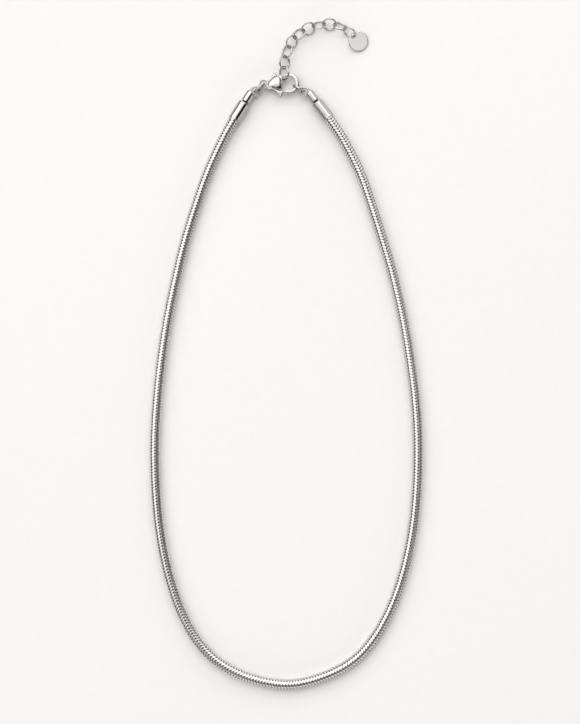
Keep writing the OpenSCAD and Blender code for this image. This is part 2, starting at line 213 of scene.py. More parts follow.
# Sizes that follow
CHAIN_R = CHAIN_D / 2
BORE_R = CHAIN_R + CAP_PLAY
CAP_R = BORE_R + CAP_WALL
CAP_BORE_LEN = CAP_LEN - CAP_END_T
CAP_Z = CAP_R + CAP_LIP_H
EYE_ALONG = CAP_LEN + CAP_EYE_REACH
HOOK_IR = HOOK_ID / 2
HOOK_MR = HOOK_IR + HOOK_W / 2
HOOK_OR = HOOK_IR + HOOK_W
CLASP_Z = CAP_Z
SLOT_T = LEVER_T + 2 * LEVER_PLAY
SLOT_R = KNUCKLE_R + KNUCKLE_PLAY
LUG_R = SLOT_R + LUG_WALL
LUG_T = SLOT_T + 2 * LUG_SIDE
PIVOT = np.array([HINGE_REACH - CLASP_REACH, -CLASP_DROP - HINGE_DROP])
JUMP_R = (JUMP_ID + JUMP_WIRE) / 2
LINK_R = (LINK_OD - LINK_WIRE) / 2
HOOK_REST = HOOK_IR - RING_REST - JUMP_WIRE / 2
MM = 0.001


def heading(turn):
    """The unit vector at a turn from X, seen from above."""
    return np.array([math.cos(math.radians(turn)), math.sin(math.radians(turn))])


def on_cap(start, turn, along, inward, side):
    """A point of a cap's own frame on the table; side is 1 where the inside is on the cap's left."""
    return start + heading(turn) * along + heading(turn + 90) * inward * side


CLASP_EYE = CLASP_AT + np.array([-CLASP_REACH, -CLASP_DROP])
LEFT_EYE = CLASP_EYE + heading(LEFT_RING_TURN) * 2 * (JUMP_R - RING_REST)
RIGHT_EYE = CLASP_AT + heading(RIGHT_RING_TURN) * (HOOK_REST + 2 * JUMP_R + RING_REST)
LEFT_MOUTH = on_cap(LEFT_EYE, LEFT_TURN, -EYE_ALONG, -CAP_EYE_SHIFT, -1)
RIGHT_MOUTH = on_cap(RIGHT_EYE, RIGHT_TURN, -EYE_ALONG, -CAP_EYE_SHIFT, 1)


# Colours and materials

def linear(hex_colour):
    """A colour written as sRGB hex, as the linear RGBA that a shader takes."""
    parts = [int(hex_colour[i:i + 2], 16) / 255 for i in (1, 3, 5)]
    return tuple(c / 12.92 if c <= 0.04045 else ((c + 0.055) / 1.055) ** 2.4 for c in parts) + (1.0,)


def add(tree, kind, settings=None, inputs=None):
    """Add one node: settings are its own fields, inputs are values or sockets to link from."""
    node = tree.nodes.new(kind)
    for field, value in (settings or {}).items():
        setattr(node, field, value)
    for socket, value in (inputs or {}).items():
        if isinstance(value, bpy.types.NodeSocket):
            tree.links.new(value, node.inputs[socket])
        else:
            node.inputs[socket].default_value = value
    return node


def blank_material(name):
    """A material with one Principled shader, and the tree to build its pattern in."""
    material = bpy.data.materials.new(name)
    material.use_nodes = True
    tree = material.node_tree
    return material, tree, tree.nodes["Principled BSDF"]


def per_metre(size_mm):
    """Scale of a noise whose features are size_mm across."""
    return 1 / (size_mm * MM)


def polished_stainless():
    """316L stainless steel, cast or turned, then tumbled with steel shot: a near mirror whose
    reflections waver a little, with hairline scratches that only soften the brightest spots.
    Grooves, corners and the places where rings touch are darkened with painted shade. Real
    scratches are too fine to show, so they are drawn 0.12 mm wide."""
    material, tree, shader = blank_material("polished_316L_stainless")
    place = add(tree, "ShaderNodeTexCoord")
    painted_shade = add(tree, "ShaderNodeAttribute", {"attribute_name": "painted_shade"})
    # Painted shade: the base colour goes towards near black where the painted-shade mark is high.
    painted_shade_colour = add(tree, "ShaderNodeMix", {"data_type": "RGBA"}, {
        "Factor": painted_shade.outputs["Fac"], "A": linear("#BAB8B5"), "B": linear("#242220")})
    handling = add(tree, "ShaderNodeTexNoise", inputs={
        "Vector": place.outputs["Object"], "Scale": per_metre(1.4), "Detail": 4.0, "Roughness": 0.6})
    shine = add(tree, "ShaderNodeMapRange", inputs={
        "Value": handling.outputs["Fac"], "From Min": 0.3, "From Max": 0.7,
        "To Min": 0.07, "To Max": 0.15})
    stretched = add(tree, "ShaderNodeMapping", inputs={
        "Vector": place.outputs["Object"], "Rotation": (0.3, 0.2, 0.9), "Scale": (1.0, 0.06, 1.0)})
    scratches = add(tree, "ShaderNodeTexNoise", inputs={
        "Vector": stretched.outputs["Vector"], "Scale": per_metre(0.12), "Detail": 2.0})
    waver = add(tree, "ShaderNodeTexNoise", inputs={
        "Vector": place.outputs["Object"], "Scale": per_metre(2.2), "Detail": 1.0})
    hairlines = add(tree, "ShaderNodeBump", inputs={
        "Strength": 0.25, "Distance": 0.003 * MM, "Height": scratches.outputs["Fac"]})
    surface = add(tree, "ShaderNodeBump", inputs={
        "Strength": 0.5, "Distance": 0.02 * MM, "Height": waver.outputs["Fac"],
        "Normal": hairlines.outputs["Normal"]})
    tree.links.new(painted_shade_colour.outputs["Result"], shader.inputs["Base Color"])
    shader.inputs["Metallic"].default_value = 1.0
    tree.links.new(shine.outputs["Result"], shader.inputs["Roughness"])
    tree.links.new(surface.outputs["Normal"], shader.inputs["Normal"])
    return material


def chain_stainless():
    """Stainless strip, rolled, stamped into wavy links and electropolished after the links are
    pressed together: bright crowns, with painted shade in the seams and pits between the links, which are
    also rougher.
    The etched grain of the steel is too fine to show, so it is drawn 0.15 mm across."""
    material, tree, shader = blank_material("electropolished_stainless_strip")
    place = add(tree, "ShaderNodeTexCoord")
    seam_shade = add(tree, "ShaderNodeAttribute", {"attribute_name": "seam_shade"})
    # Painted shade: the seams and pits go towards near black.
    seam_shade_colour = add(tree, "ShaderNodeMix", {"data_type": "RGBA"}, {
        "Factor": seam_shade.outputs["Fac"], "A": linear("#E6E4E1"), "B": linear("#1E1D1C")})
    spots = add(tree, "ShaderNodeTexNoise", inputs={
        "Vector": place.outputs["Object"], "Scale": per_metre(0.5), "Detail": 3.0})
    shine = add(tree, "ShaderNodeMapRange", inputs={
        "Value": spots.outputs["Fac"], "From Min": 0.3, "From Max": 0.7, "To Min": 0.28, "To Max": 0.32})
    dull = add(tree, "ShaderNodeMath", {"operation": "MULTIPLY_ADD"}, {
        0: seam_shade.outputs["Fac"], 1: 0.3, 2: shine.outputs["Result"]})
    grain = add(tree, "ShaderNodeTexNoise", inputs={
        "Vector": place.outputs["Object"], "Scale": per_metre(0.15), "Detail": 2.0})
    surface = add(tree, "ShaderNodeBump", inputs={
        "Strength": 0.2, "Distance": 0.004 * MM, "Height": grain.outputs["Fac"]})
    tree.links.new(seam_shade_colour.outputs["Result"], shader.inputs["Base Color"])
    shader.inputs["Metallic"].default_value = 1.0
    tree.links.new(dull.outputs["Value"], shader.inputs["Roughness"])
    tree.links.new(surface.outputs["Normal"], shader.inputs["Normal"])
    return material


def satin_stainless():
    """Stainless sheet, blasted with glass beads of 0.1 mm: a soft even grey, no clear reflection."""
    material, tree, shader = blank_material("bead_blasted_stainless")
    place = add(tree, "ShaderNodeTexCoord")
    beads = add(tree, "ShaderNodeTexNoise", inputs={
        "Vector": place.outputs["Object"], "Scale": per_metre(0.1), "Detail": 3.0, "Roughness": 0.7})
    cloud = add(tree, "ShaderNodeTexNoise", inputs={
        "Vector": place.outputs["Object"], "Scale": per_metre(1.8), "Detail": 2.0})
    shine = add(tree, "ShaderNodeMapRange", inputs={
        "Value": cloud.outputs["Fac"], "From Min": 0.3, "From Max": 0.7, "To Min": 0.6, "To Max": 0.68})
    surface = add(tree, "ShaderNodeBump", inputs={
        "Strength": 0.6, "Distance": 0.006 * MM, "Height": beads.outputs["Fac"]})
    shader.inputs["Base Color"].default_value = linear("#EEEDEB")
    shader.inputs["Metallic"].default_value = 1.0
    tree.links.new(shine.outputs["Result"], shader.inputs["Roughness"])
    tree.links.new(surface.outputs["Normal"], shader.inputs["Normal"])
    return material


def table_paper():
    """Uncoated white board, calendered: a flat warm white, barely clouded. Its fibres are too fine
    to show, so they are drawn as clouds 3 mm across."""
    material, tree, shader = blank_material("uncoated_white_board")
    place = add(tree, "ShaderNodeTexCoord")
    fibre = add(tree, "ShaderNodeTexNoise", inputs={
        "Vector": place.outputs["Object"], "Scale": per_metre(3.0), "Detail": 5.0})
    tone = add(tree, "ShaderNodeMix", {"data_type": "RGBA"}, {
        "Factor": fibre.outputs["Fac"], "A": linear("#EFEEEC"), "B": linear("#F2F1EF")})
    tree.links.new(tone.outputs["Result"], shader.inputs["Base Color"])
    shader.inputs["Roughness"].default_value = 0.9
    shader.inputs["Specular IOR Level"].default_value = 0.1
    return material


POLISHED = polished_stainless()
CHAIN_STEEL = chain_stainless()
SATIN = satin_stainless()


# Making pieces

def put(name, points, faces, materials, body, node, face_material=None, normals=None, marks=None):
    """Make a piece from points in millimetres that stands for a node and rides on a body. marks holds
    a named number for each point, which its material reads."""
    mesh = bpy.data.meshes.new(name)
    mesh.from_pydata((np.asarray(points) * MM).tolist(), [], np.asarray(faces).tolist())
    for material in materials:
        mesh.materials.append(material)
    mesh.polygons.foreach_set("use_smooth", [True] * len(mesh.polygons))
    if face_material is not None:
        mesh.polygons.foreach_set("material_index", face_material)
    mesh.update()
    if normals is not None:
        mesh.normals_split_custom_set_from_vertices(normals.tolist())
    for mark, values in (marks or {}).items():
        mesh.attributes.new(mark, "FLOAT", "POINT").data.foreach_set("value", values)
    piece = bpy.data.objects.new(name, mesh)
    bpy.context.scene.collection.objects.link(piece)
    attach(piece, body)
    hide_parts(node)
    return piece


def turned_and_moved(points, turn, at):
    """Turn points about Z, then move them to at, a point (x, y, z)."""
    c, s = heading(turn)
    x, y, z = np.asarray(points).T
    return np.stack([x * c - y * s + at[0], x * s + y * c + at[1], z + at[2]], axis=1)


# Solids as distance fields: negative inside, joined and cut as a caster joins and files a model

def circle_field(x, y, at, r):
    """A round bar along Z."""
    return np.hypot(x - at[0], y - at[1]) - r


def outline_field(x, y, points):
    """Signed distance to a closed outline."""
    nearest = np.full(np.broadcast(x, y).shape, np.inf)
    winding = np.zeros(nearest.shape, dtype=int)
    for (ax, ay), (bx, by) in zip(points, points[1:] + points[:1]):
        ex, ey = bx - ax, by - ay
        wx, wy = x - ax, y - ay
        t = np.clip((wx * ex + wy * ey) / (ex * ex + ey * ey), 0, 1)
        nearest = np.minimum(nearest, np.hypot(wx - ex * t, wy - ey * t))
        left = ex * wy - ey * wx > 0
        winding += ((ay <= y) & (by > y) & left).astype(int)
        winding -= ((ay > y) & (by <= y) & ~left).astype(int)
    return np.where(winding != 0, -nearest, nearest)


def stadium_ring_field(x, y, z, at, r, w, h):
    """A ring round Z whose wall is w wide and h high, with round edges."""
    across = np.hypot(x - at[0], y - at[1]) - r
    above = np.maximum(np.abs(z) - (h - w) / 2, 0)
    return np.hypot(across, above) - w / 2


def slab_field(flat, z, thick, edge_r):
    """A slab of a flat outline field, thick across z, with its edges rounded over edge_r."""
    out = flat + edge_r
    up = np.abs(z) - thick / 2 + edge_r
    return np.hypot(np.maximum(out, 0), np.maximum(up, 0)) + np.minimum(np.maximum(out, up), 0) - edge_r


def soft_meet(a, b, blend):
    """Where two fields meet, rounded over about blend."""
    near = np.maximum(blend - np.abs(a - b), 0)
    return np.maximum(a, b) + near * near / (4 * blend)


def meet(*fields):
    """What all the fields share."""
    out = fields[0]
    for field in fields[1:]:
        out = np.maximum(out, field)
    return out


def join(*fields):
    """All the fields as one."""
    out = fields[0]
    for field in fields[1:]:
        out = np.minimum(out, field)
    return out


def cut(field, *tools):
    """A field with the tools taken out of it."""
    return meet(field, *[-tool for tool in tools])


def tumbled(values, passes):
    """Round every edge a little, as tumbling does: a short blur along each axis."""
    for _ in range(passes):
        for axis in range(3):
            padded = np.concatenate([values.take([0], axis), values, values.take([-1], axis)], axis)
            n = values.shape[axis]
            values = (padded.take(range(0, n), axis) + 2 * padded.take(range(1, n + 1), axis)
                      + padded.take(range(2, n + 2), axis)) / 4
    return values


def skin(field, low, high, step, passes):
    """Points, quads, normals and painted-shade marks of the surface where a field is zero, found on a
    grid.
    A point gets painted shade where the metal round it stands closer than on a flat, as in a hollow."""
    axes = [np.arange(lo, hi + step, step) for lo, hi in zip(low, high)]
    x, y, z = np.meshgrid(*axes, indexing="ij", sparse=True)
    values = tumbled(np.broadcast_to(field(x, y, z), [len(a) for a in axes]).copy(), passes)
    cells = [n - 1 for n in values.shape]
    total = np.zeros(cells + [3])
    count = np.zeros(cells)
    crossings = []
    for axis in range(3):
        near = values.take(range(0, values.shape[axis] - 1), axis)
        far = values.take(range(1, values.shape[axis]), axis)
        at = np.argwhere((near < 0) != (far < 0))
        a = near[tuple(at.T)]
        b = far[tuple(at.T)]
        where = at.astype(float)
        where[:, axis] += a / (a - b)
        others = [i for i in range(3) if i != axis]
        for step_a in (0, 1):
            for step_b in (0, 1):
                cell = at.copy()
                cell[:, others[0]] -= step_a
                cell[:, others[1]] -= step_b
                np.add.at(total, tuple(cell.T), where)
                np.add.at(count, tuple(cell.T), 1)
        crossings.append((axis, at, a < 0, others))
    used = count > 0
    index = np.full(cells, -1)
    index[used] = np.arange(used.sum())
    points = total[used] / count[used][:, None]
    faces = []
    for axis, at, inside_first, others in crossings:
        corners = []
        for step_a, step_b in ((0, 0), (1, 0), (1, 1), (0, 1)):
            cell = at.copy()
            cell[:, others[0]] -= step_a
            cell[:, others[1]] -= step_b
            corners.append(index[tuple(cell.T)])
        quad = np.stack(corners, axis=1)
        flip = inside_first == (axis == 1)
        quad[flip] = quad[flip][:, ::-1]
        faces.append(quad)
    slopes = np.stack(np.gradient(values), axis=-1)
    # Tumbling n times averages over a reach of the square root of n / 2 steps.
    around = tumbled(values, int((RECESS_REACH / step) ** 2 * 2))
    base = np.floor(points).astype(int)
    part = points - base
    normals = np.zeros_like(points)
    hollow = np.zeros(len(points))
    for corner in np.ndindex(2, 2, 2):
        weight = np.prod(np.where(corner, part, 1 - part), axis=1)
        normals += slopes[tuple((base + corner).T)] * weight[:, None]
        hollow -= around[tuple((base + corner).T)] * weight
    normals /= np.linalg.norm(normals, axis=1)[:, None]
    # Painted shade, darkest in the deepest hollows.
    painted_shade = np.clip((hollow - RECESS_FROM) / (RECESS_FULL - RECESS_FROM), 0, 1)
    return points * step + np.array([a[0] for a in axes]), np.concatenate(faces), normals, painted_shade


# End caps

def cap_field(side):
    """Barrel, groove, post and eye along X from the mouth, with the axis at z = 0. The turned outline
    ends on the far side of the axis, at a radius of -1."""
    post_end = EYE_ALONG - CAP_EYE_D / 2 - POST_SHORT
    groove_r = POST_D / 2 - GROOVE_DEPTH
    barrel = [
        (CAP_MOUTH_X, BORE_R), (CAP_MOUTH_X, CAP_Z), (CAP_LIP_LEN, CAP_Z), (CAP_LIP_LEN, CAP_R),
        (CAP_LEN - CAP_CHAMFER, CAP_R), (CAP_LEN, CAP_R - CAP_CHAMFER), (CAP_LEN, groove_r),
        (CAP_LEN + GROOVE_LEN, groove_r), (CAP_LEN + GROOVE_LEN, POST_D / 2), (post_end, POST_D / 2),
        (post_end, -1), (CAP_BORE_LEN, -1), (CAP_BORE_LEN, BORE_R),
    ]
    lean = math.radians(-side * CAP_EYE_LEAN)

    def field(x, y, z):
        radius = np.hypot(y, z)
        turned = outline_field(x, radius, barrel)
        flank = np.hypot(x - post_end, radius) - POST_D / 2
        dy = y - side * CAP_EYE_SHIFT
        eye_y = dy * math.cos(lean) + z * math.sin(lean)
        eye_z = z * math.cos(lean) - dy * math.sin(lean)
        eye_at = (EYE_ALONG, 0)
        eye_r = (CAP_EYE_D + CAP_EYE_WALL) / 2
        hole = circle_field(x, eye_y, eye_at, eye_r)
        eye = stadium_ring_field(x, eye_y, eye_z, eye_at, eye_r, CAP_EYE_WALL, CAP_EYE_T)
        return join(cut(join(turned, flank), hole), eye)

    return field


def end_cap(name, node, mouth, turn, side):
    """A cap from its mouth on the table along turn. Its eye reaches further sideways than its barrel."""
    reach = CAP_Z + GRID_ROOM
    eye_more = 0.5
    high = (EYE_ALONG + CAP_EYE_D / 2 + CAP_EYE_WALL + GRID_ROOM, reach + eye_more, reach)
    low = (-GRID_ROOM, -reach - eye_more, -reach)
    points, faces, normals, painted_shade = skin(cap_field(side), low, high, CAP_STEP, 1)
    points = turned_and_moved(points, turn, (mouth[0], mouth[1], CAP_Z))
    normals = turned_and_moved(normals, turn, (0, 0, 0))
    put(name, points, faces, [POLISHED], "necklace", node, normals=normals,
        marks={"painted_shade": painted_shade})


# Clasp

HOOK_END = HOOK_MR * heading(HOOK_TIP)


def by_lever(share, fall):
    """A point by its shares of the way and the fall from the hinge to the hook's tip."""
    return (PIVOT[0] + share * (HOOK_END[0] - PIVOT[0]), PIVOT[1] + fall * (HOOK_END[1] - PIVOT[1]))


# Outlines beside the lever, in the shares that by_lever takes.
CHEEK_EDGE = [(0.126, -0.288), (0.335, 0), (0.503, 0.288), (0.775, 0.534), (0.911, 0.657)]
LEVER_TOP = [(0.335, 0.181), (0.503, 0.534), (0.775, 0.863), (0.939, 0.986)]
LEVER_TIP = [(0.89, 1.602), (0.817, 1.643)]
LEVER_BACK = [(0.461, 1.479), (0.21, 0.698)]
NUB_SHARE = 0.713
SLOT_CORNER = (0.922, -0.575)
# The fin in rows: how far under its top, and its two sides as shares of its width.
FIN_ROWS = [(0.25, -0.17, 0.18), (0.68, -0.36, 0.29), (1.7, -0.59, 0.43), (2.7, -0.56, 0.43)]


def clasp_body_field(x, y, z):
    """Eye, neck, palm, hook and fin in the clasp's own frame, its middle plane at z = 0."""
    palm_from = -CLASP_REACH + CLASP_EYE_D / 2 + CLASP_EYE_WALL - NECK_OVERLAP
    run = PALM_WIDE_X - palm_from
    rise = PALM_R - PALM_NECK_R
    arc = (run * run + rise * rise) / (2 * rise)
    palm_y = y + CLASP_DROP
    off_axis = np.hypot(palm_y, z)
    teardrop = meet(np.hypot(off_axis - (PALM_R - arc), x - PALM_WIDE_X) - arc, palm_from - x)
    lens_z = PALM_LENS_R - PALM_T / 2
    lens = meet(np.hypot(palm_y, z - lens_z) - PALM_LENS_R, np.hypot(palm_y, z + lens_z) - PALM_LENS_R)

    c, s = heading(PALM_FACE_TURN)
    face_x = (x - PALM_FACE[0]) * c + (y - PALM_FACE[1]) * s
    face_y = (y - PALM_FACE[1]) * c - (x - PALM_FACE[0]) * s
    edge = [by_lever(*p) for p in CHEEK_EDGE]
    opening_y = -HOOK_IR / 2
    below_cheeks = outline_field(x, y, edge + [
        (edge[-1][0], opening_y), (0, opening_y), (0, -2 * PALM_R), (-CLASP_REACH, -2 * PALM_R),
        (-CLASP_REACH, PIVOT[1] - SLOT_R)])
    crown = PALM_CROWN_Z - ((x - PALM_CROWN_X) ** 2 + palm_y ** 2) / (2 * PALM_CROWN_R)
    domed = soft_meet(soft_meet(teardrop, lens, PALM_LENS_BLEND), np.abs(z) - crown, PALM_CROWN_BLEND)
    domed = soft_meet(domed, face_x + PALM_LIP, PALM_ROLL)
    lip = slab_field(meet(teardrop, face_x, -PALM_LIP_RUN - face_x), z, PALM_LIP_T, PALM_LIP_EDGE)
    palm = cut(join(domed, lip), below_cheeks)

    n_tip = heading(HOOK_TIP + 90)
    n_from = heading(HOOK_FROM + 90)
    gap = meet(x * n_tip[0] + y * n_tip[1], -(x * n_from[0] + y * n_from[1]))
    root_y = math.sqrt(HOOK_OR ** 2 - PALM_FACE[0] ** 2) - HOOK_ROOT_T
    relief = meet(-face_x, face_x + PALM_FACE[0], -face_y, face_y - (root_y - PALM_FACE[1]))
    across = np.hypot(x, y) - HOOK_MR
    edge_r = np.where(across < 0, *HOOK_EDGE)
    hook = cut(slab_field(np.abs(across) - HOOK_W / 2, z, HOOK_T, edge_r), gap, relief)

    neck = meet(off_axis - NECK_R, np.abs(x - palm_from) - NECK_R)
    lug = meet(circle_field(x, y, PIVOT, LUG_R), np.abs(z) - LUG_T / 2)
    top = PALM_R - CLASP_DROP + FIN_H
    fin_x = (palm_from + PALM_WIDE_X) / 2
    fin_outline = [(fin_x + row[1] * FIN_W, top - row[0]) for row in FIN_ROWS]
    fin_outline += [(fin_x + row[2] * FIN_W, top - row[0]) for row in reversed(FIN_ROWS)]
    fin_tip = circle_field(x, y, (fin_x, top - FIN_TIP_R), FIN_TIP_R)
    fin = slab_field(join(outline_field(x, y, fin_outline), fin_tip), z, FIN_T, CAST_EDGE)

    corner = by_lever(*SLOT_CORNER)
    slot_flat = join(circle_field(x, y, PIVOT, SLOT_R), outline_field(x, y, [
        (PIVOT[0], PIVOT[1] + SLOT_R), corner, (corner[0], -2 * PALM_R), (PIVOT[0], -2 * PALM_R)]))
    slot = meet(slot_flat, np.abs(z) - SLOT_T / 2)
    seat = circle_field(x, y, PIVOT, PIN_D / 2 + PIN_SEAT_PLAY)
    eye_at = (-CLASP_REACH, -CLASP_DROP)
    eye_r = (CLASP_EYE_D + CLASP_EYE_WALL) / 2
    eye = stadium_ring_field(x, y, z, eye_at, eye_r, CLASP_EYE_WALL, HOOK_T)
    return join(cut(join(palm, hook, neck, lug, fin), slot, seat, circle_field(x, y, eye_at, eye_r)), eye)


def lever_field(x, y, z):
    """Arm, thumb nub and knuckle, bored for the pin."""
    tip = [by_lever(*p) for p in LEVER_TIP]
    nub = (by_lever(NUB_SHARE, 0)[0], tip[1][1] - NUB_H + NUB_RISE * NUB_R)
    arm = [tuple(PIVOT + KNUCKLE_R * heading(KNUCKLE_TOP))]
    arm += [by_lever(*p) for p in LEVER_TOP] + tip
    arm += [(nub[0] + NUB_FRONT * NUB_R, nub[1]), (nub[0] - NUB_REAR * NUB_R, nub[1])]
    arm += [by_lever(*p) for p in LEVER_BACK] + [tuple(PIVOT + KNUCKLE_R * heading(KNUCKLE_BACK))]
    knuckle = circle_field(x, y, PIVOT, KNUCKLE_R)
    flat = join(outline_field(x, y, arm), circle_field(x, y, nub, NUB_R), knuckle)
    return cut(slab_field(flat, z, LEVER_T, CAST_EDGE), circle_field(x, y, PIVOT, PIN_D / 2 + PIN_PLAY))


def pin_field(x, y, z):
    """A drawn pin, as long as the lug is thick."""
    return meet(circle_field(x, y, PIVOT, PIN_D / 2), np.abs(z) - LUG_T / 2)


def clasp_piece(name, node, body, field, low, high, step, passes):
    """A piece of the clasp, made in the clasp's own frame in a grid from low to high, and laid where
    the clasp is."""
    points, faces, normals, painted_shade = skin(field, low, high, step, passes)
    points = points + np.array([CLASP_AT[0], CLASP_AT[1], CLASP_Z])
    put(name, points, faces, [POLISHED], body, node, normals=normals,
        marks={"painted_shade": painted_shade})


def clasp():
    """The body and the pin ride on the necklace, and the lever on its own body."""
    clasp_piece("clasp_body_cast", "clasp_body", "necklace", clasp_body_field,
                (-9.9, -3.7, -2.1), (3.7, 4.0, 2.1), CLASP_BODY_STEP, 2)
    clasp_piece("clasp_lever_cast", "clasp_lever", "lever", lever_field,
                (-6.8, -4.8, -0.8), (-1.2, -0.5, 0.8), LEVER_STEP, 2)
    clasp_piece("clasp_pin_drawn", "clasp_pin", "necklace", pin_field,
                (-6.4, -1.7, -1.4), (-5.6, -0.9, 1.4), PIN_STEP, 1)


# Rings and links

def wire_ring(name, node, middle, turn, lean, radius, wire):
    """A closed ring of round wire, turned about its run by lean and laid along turn. Its inside is
    darkened with painted shade at both ends of the run, where the next piece touches it."""
    a = np.linspace(0, 2 * math.pi, RING_AROUND, endpoint=False)[:, None]
    b = np.linspace(0, 2 * math.pi, WIRE_AROUND, endpoint=False)[None, :]
    reach = radius + wire / 2 * np.cos(b)
    x = reach * np.cos(a)
    y = reach * np.sin(a)
    z = np.broadcast_to(wire / 2 * np.sin(b), x.shape)
    # Painted shade on the inside of the wire at both ends of the run.
    at_ends = np.clip((np.abs(np.cos(a)) - CONTACT_SHADE_FROM) / CONTACT_SHADE_FADE, 0, 1)
    contact_shade = at_ends * np.clip(CONTACT_SHADE_INSIDE - np.cos(b), 0, 1)
    c, s = heading(lean)
    points = np.stack([x, y * c - z * s, y * s + z * c], axis=-1).reshape(-1, 3)
    points = turned_and_moved(points, turn, middle)
    i, j = np.meshgrid(np.arange(RING_AROUND), np.arange(WIRE_AROUND), indexing="ij")
    here = i * WIRE_AROUND
    following = (i + 1) % RING_AROUND * WIRE_AROUND
    nj = (j + 1) % WIRE_AROUND
    faces = np.stack([here + j, following + j, following + nj, here + nj], axis=-1).reshape(-1, 4)
    put(name, points, faces, [POLISHED], "necklace", node,
        marks={"painted_shade": contact_shade.ravel()})


def turn_of(v):
    """The turn of a vector from X, seen from above."""
    return math.degrees(math.atan2(v[1], v[0]))


def jump_rings():
    """Both stand upright on the table."""
    height = JUMP_R + JUMP_WIRE / 2
    left = (LEFT_EYE + CLASP_EYE) / 2
    right = CLASP_AT + heading(RIGHT_RING_TURN) * (HOOK_REST + JUMP_R)
    wire_ring("jump_ring_left_wire", "jump_ring_left", (*left, height),
              LEFT_RING_TURN, UPRIGHT, JUMP_R, JUMP_WIRE)
    wire_ring("jump_ring_right_wire", "jump_ring_right", (*right, height),
              RIGHT_RING_TURN, UPRIGHT, JUMP_R, JUMP_WIRE)


def extender_links():
    """Each link leans the other way from the one before, and lies with one side on the table."""
    last = np.array(LINK_ROUTE[-1])
    tag_way = np.array(TAG_WAY) / np.linalg.norm(TAG_WAY)
    line = [np.array(p) for p in [LINK_START] + LINK_ROUTE] + [last + tag_way]
    for i, lean in enumerate(LINK_LEAN, start=1):
        height = LINK_R * math.sin(math.radians(abs(lean))) + LINK_WIRE / 2
        wire_ring(f"extender_link_{i}_wire", f"extender_link_{i}", (*line[i], height),
                  turn_of(line[i + 1] - line[i - 1]), lean, LINK_R, LINK_WIRE)


# Tag

def tag():
    """A blasted disc with a polished edge, hung on the last link and lying tilted on the table."""
    r = TAG_D / 2
    hole_reach = r - TAG_RIM - TAG_HOLE_D / 2

    def field(x, y, z):
        across = np.hypot(x, y) - (r - TAG_ROUND)
        above = np.abs(z) - (TAG_T / 2 - TAG_ROUND)
        disc = np.hypot(np.maximum(across, 0), np.maximum(above, 0)) - TAG_ROUND
        disc = np.maximum(disc, np.maximum(across, above) - TAG_ROUND)
        return cut(disc, circle_field(x, y, (-hole_reach, 0), TAG_HOLE_D / 2))

    high = np.array([r, r, TAG_T / 2]) + GRID_ROOM
    points, faces, normals, painted_shade = skin(field, -high, high, TAG_STEP, 1)
    middles = points[faces].mean(axis=1)
    edge = np.hypot(middles[:, 0], middles[:, 1]) > r - TAG_ROUND
    tilt = math.radians(TAG_TILT)
    c, s = math.cos(tilt), math.sin(tilt)
    height = (r - TAG_ROUND) * s + (TAG_T / 2 - TAG_ROUND) * c + TAG_ROUND

    def tilted(v):
        return np.stack([v[:, 0] * c + v[:, 2] * s, v[:, 1], v[:, 2] * c - v[:, 0] * s], axis=1)

    hole_at = np.array(LINK_ROUTE[-1]) + heading(TAG_HANG_TURN) * (LINK_R - TAG_PLAY)
    points = tilted(points) + np.array([hole_reach * c, 0, 0])
    points = turned_and_moved(points, TAG_TURN, (hole_at[0], hole_at[1], height))
    normals = turned_and_moved(tilted(normals), TAG_TURN, (0, 0, 0))
    put("tag_disc", points, faces, [SATIN, POLISHED], "necklace", "tag",
        edge.astype(int), normals, {"painted_shade": painted_shade})


# Snake chain

def chain_line():
    """The chain's middle line as close points, from the bottom of one cap's bore to the other's: a
    smooth curve through the set points, which lies on the table except near the caps."""
    mouths = [tuple(LEFT_MOUTH)] + CHAIN_ROUTE + [tuple(RIGHT_MOUTH)]
    last = len(mouths) - 1
    settle = [max(0, 1 - min(i, last - i) / SETTLE_POINTS) for i in range(last + 1)]
    knots = [(x, y, CHAIN_R + (CAP_Z - CHAIN_R) * up) for (x, y), up in zip(mouths, settle)]
    depth = CAP_BORE_LEN - CAP_PLAY
    start = (*on_cap(LEFT_MOUTH, LEFT_TURN, depth, 0, 1), CAP_Z)
    end = (*on_cap(RIGHT_MOUTH, RIGHT_TURN, depth, 0, 1), CAP_Z)
    p = np.array([start] + knots + [end])
    steps = np.linspace(0, 1, LINE_POINTS, endpoint=False)[:, None]
    line = [np.array([start])]
    for i in range(1, len(p) - 2):
        a, b, c, d = p[i - 1:i + 3]
        line.append(0.5 * (2 * b + (c - a) * steps + (2 * a - 5 * b + 4 * c - d) * steps ** 2
                           + (3 * b - a - 3 * c + d) * steps ** 3))
    line += [p[-2:-1], np.array([end])]
    line = np.concatenate(line)
    line[:, 2] = np.maximum(line[:, 2], CHAIN_R)
    return line


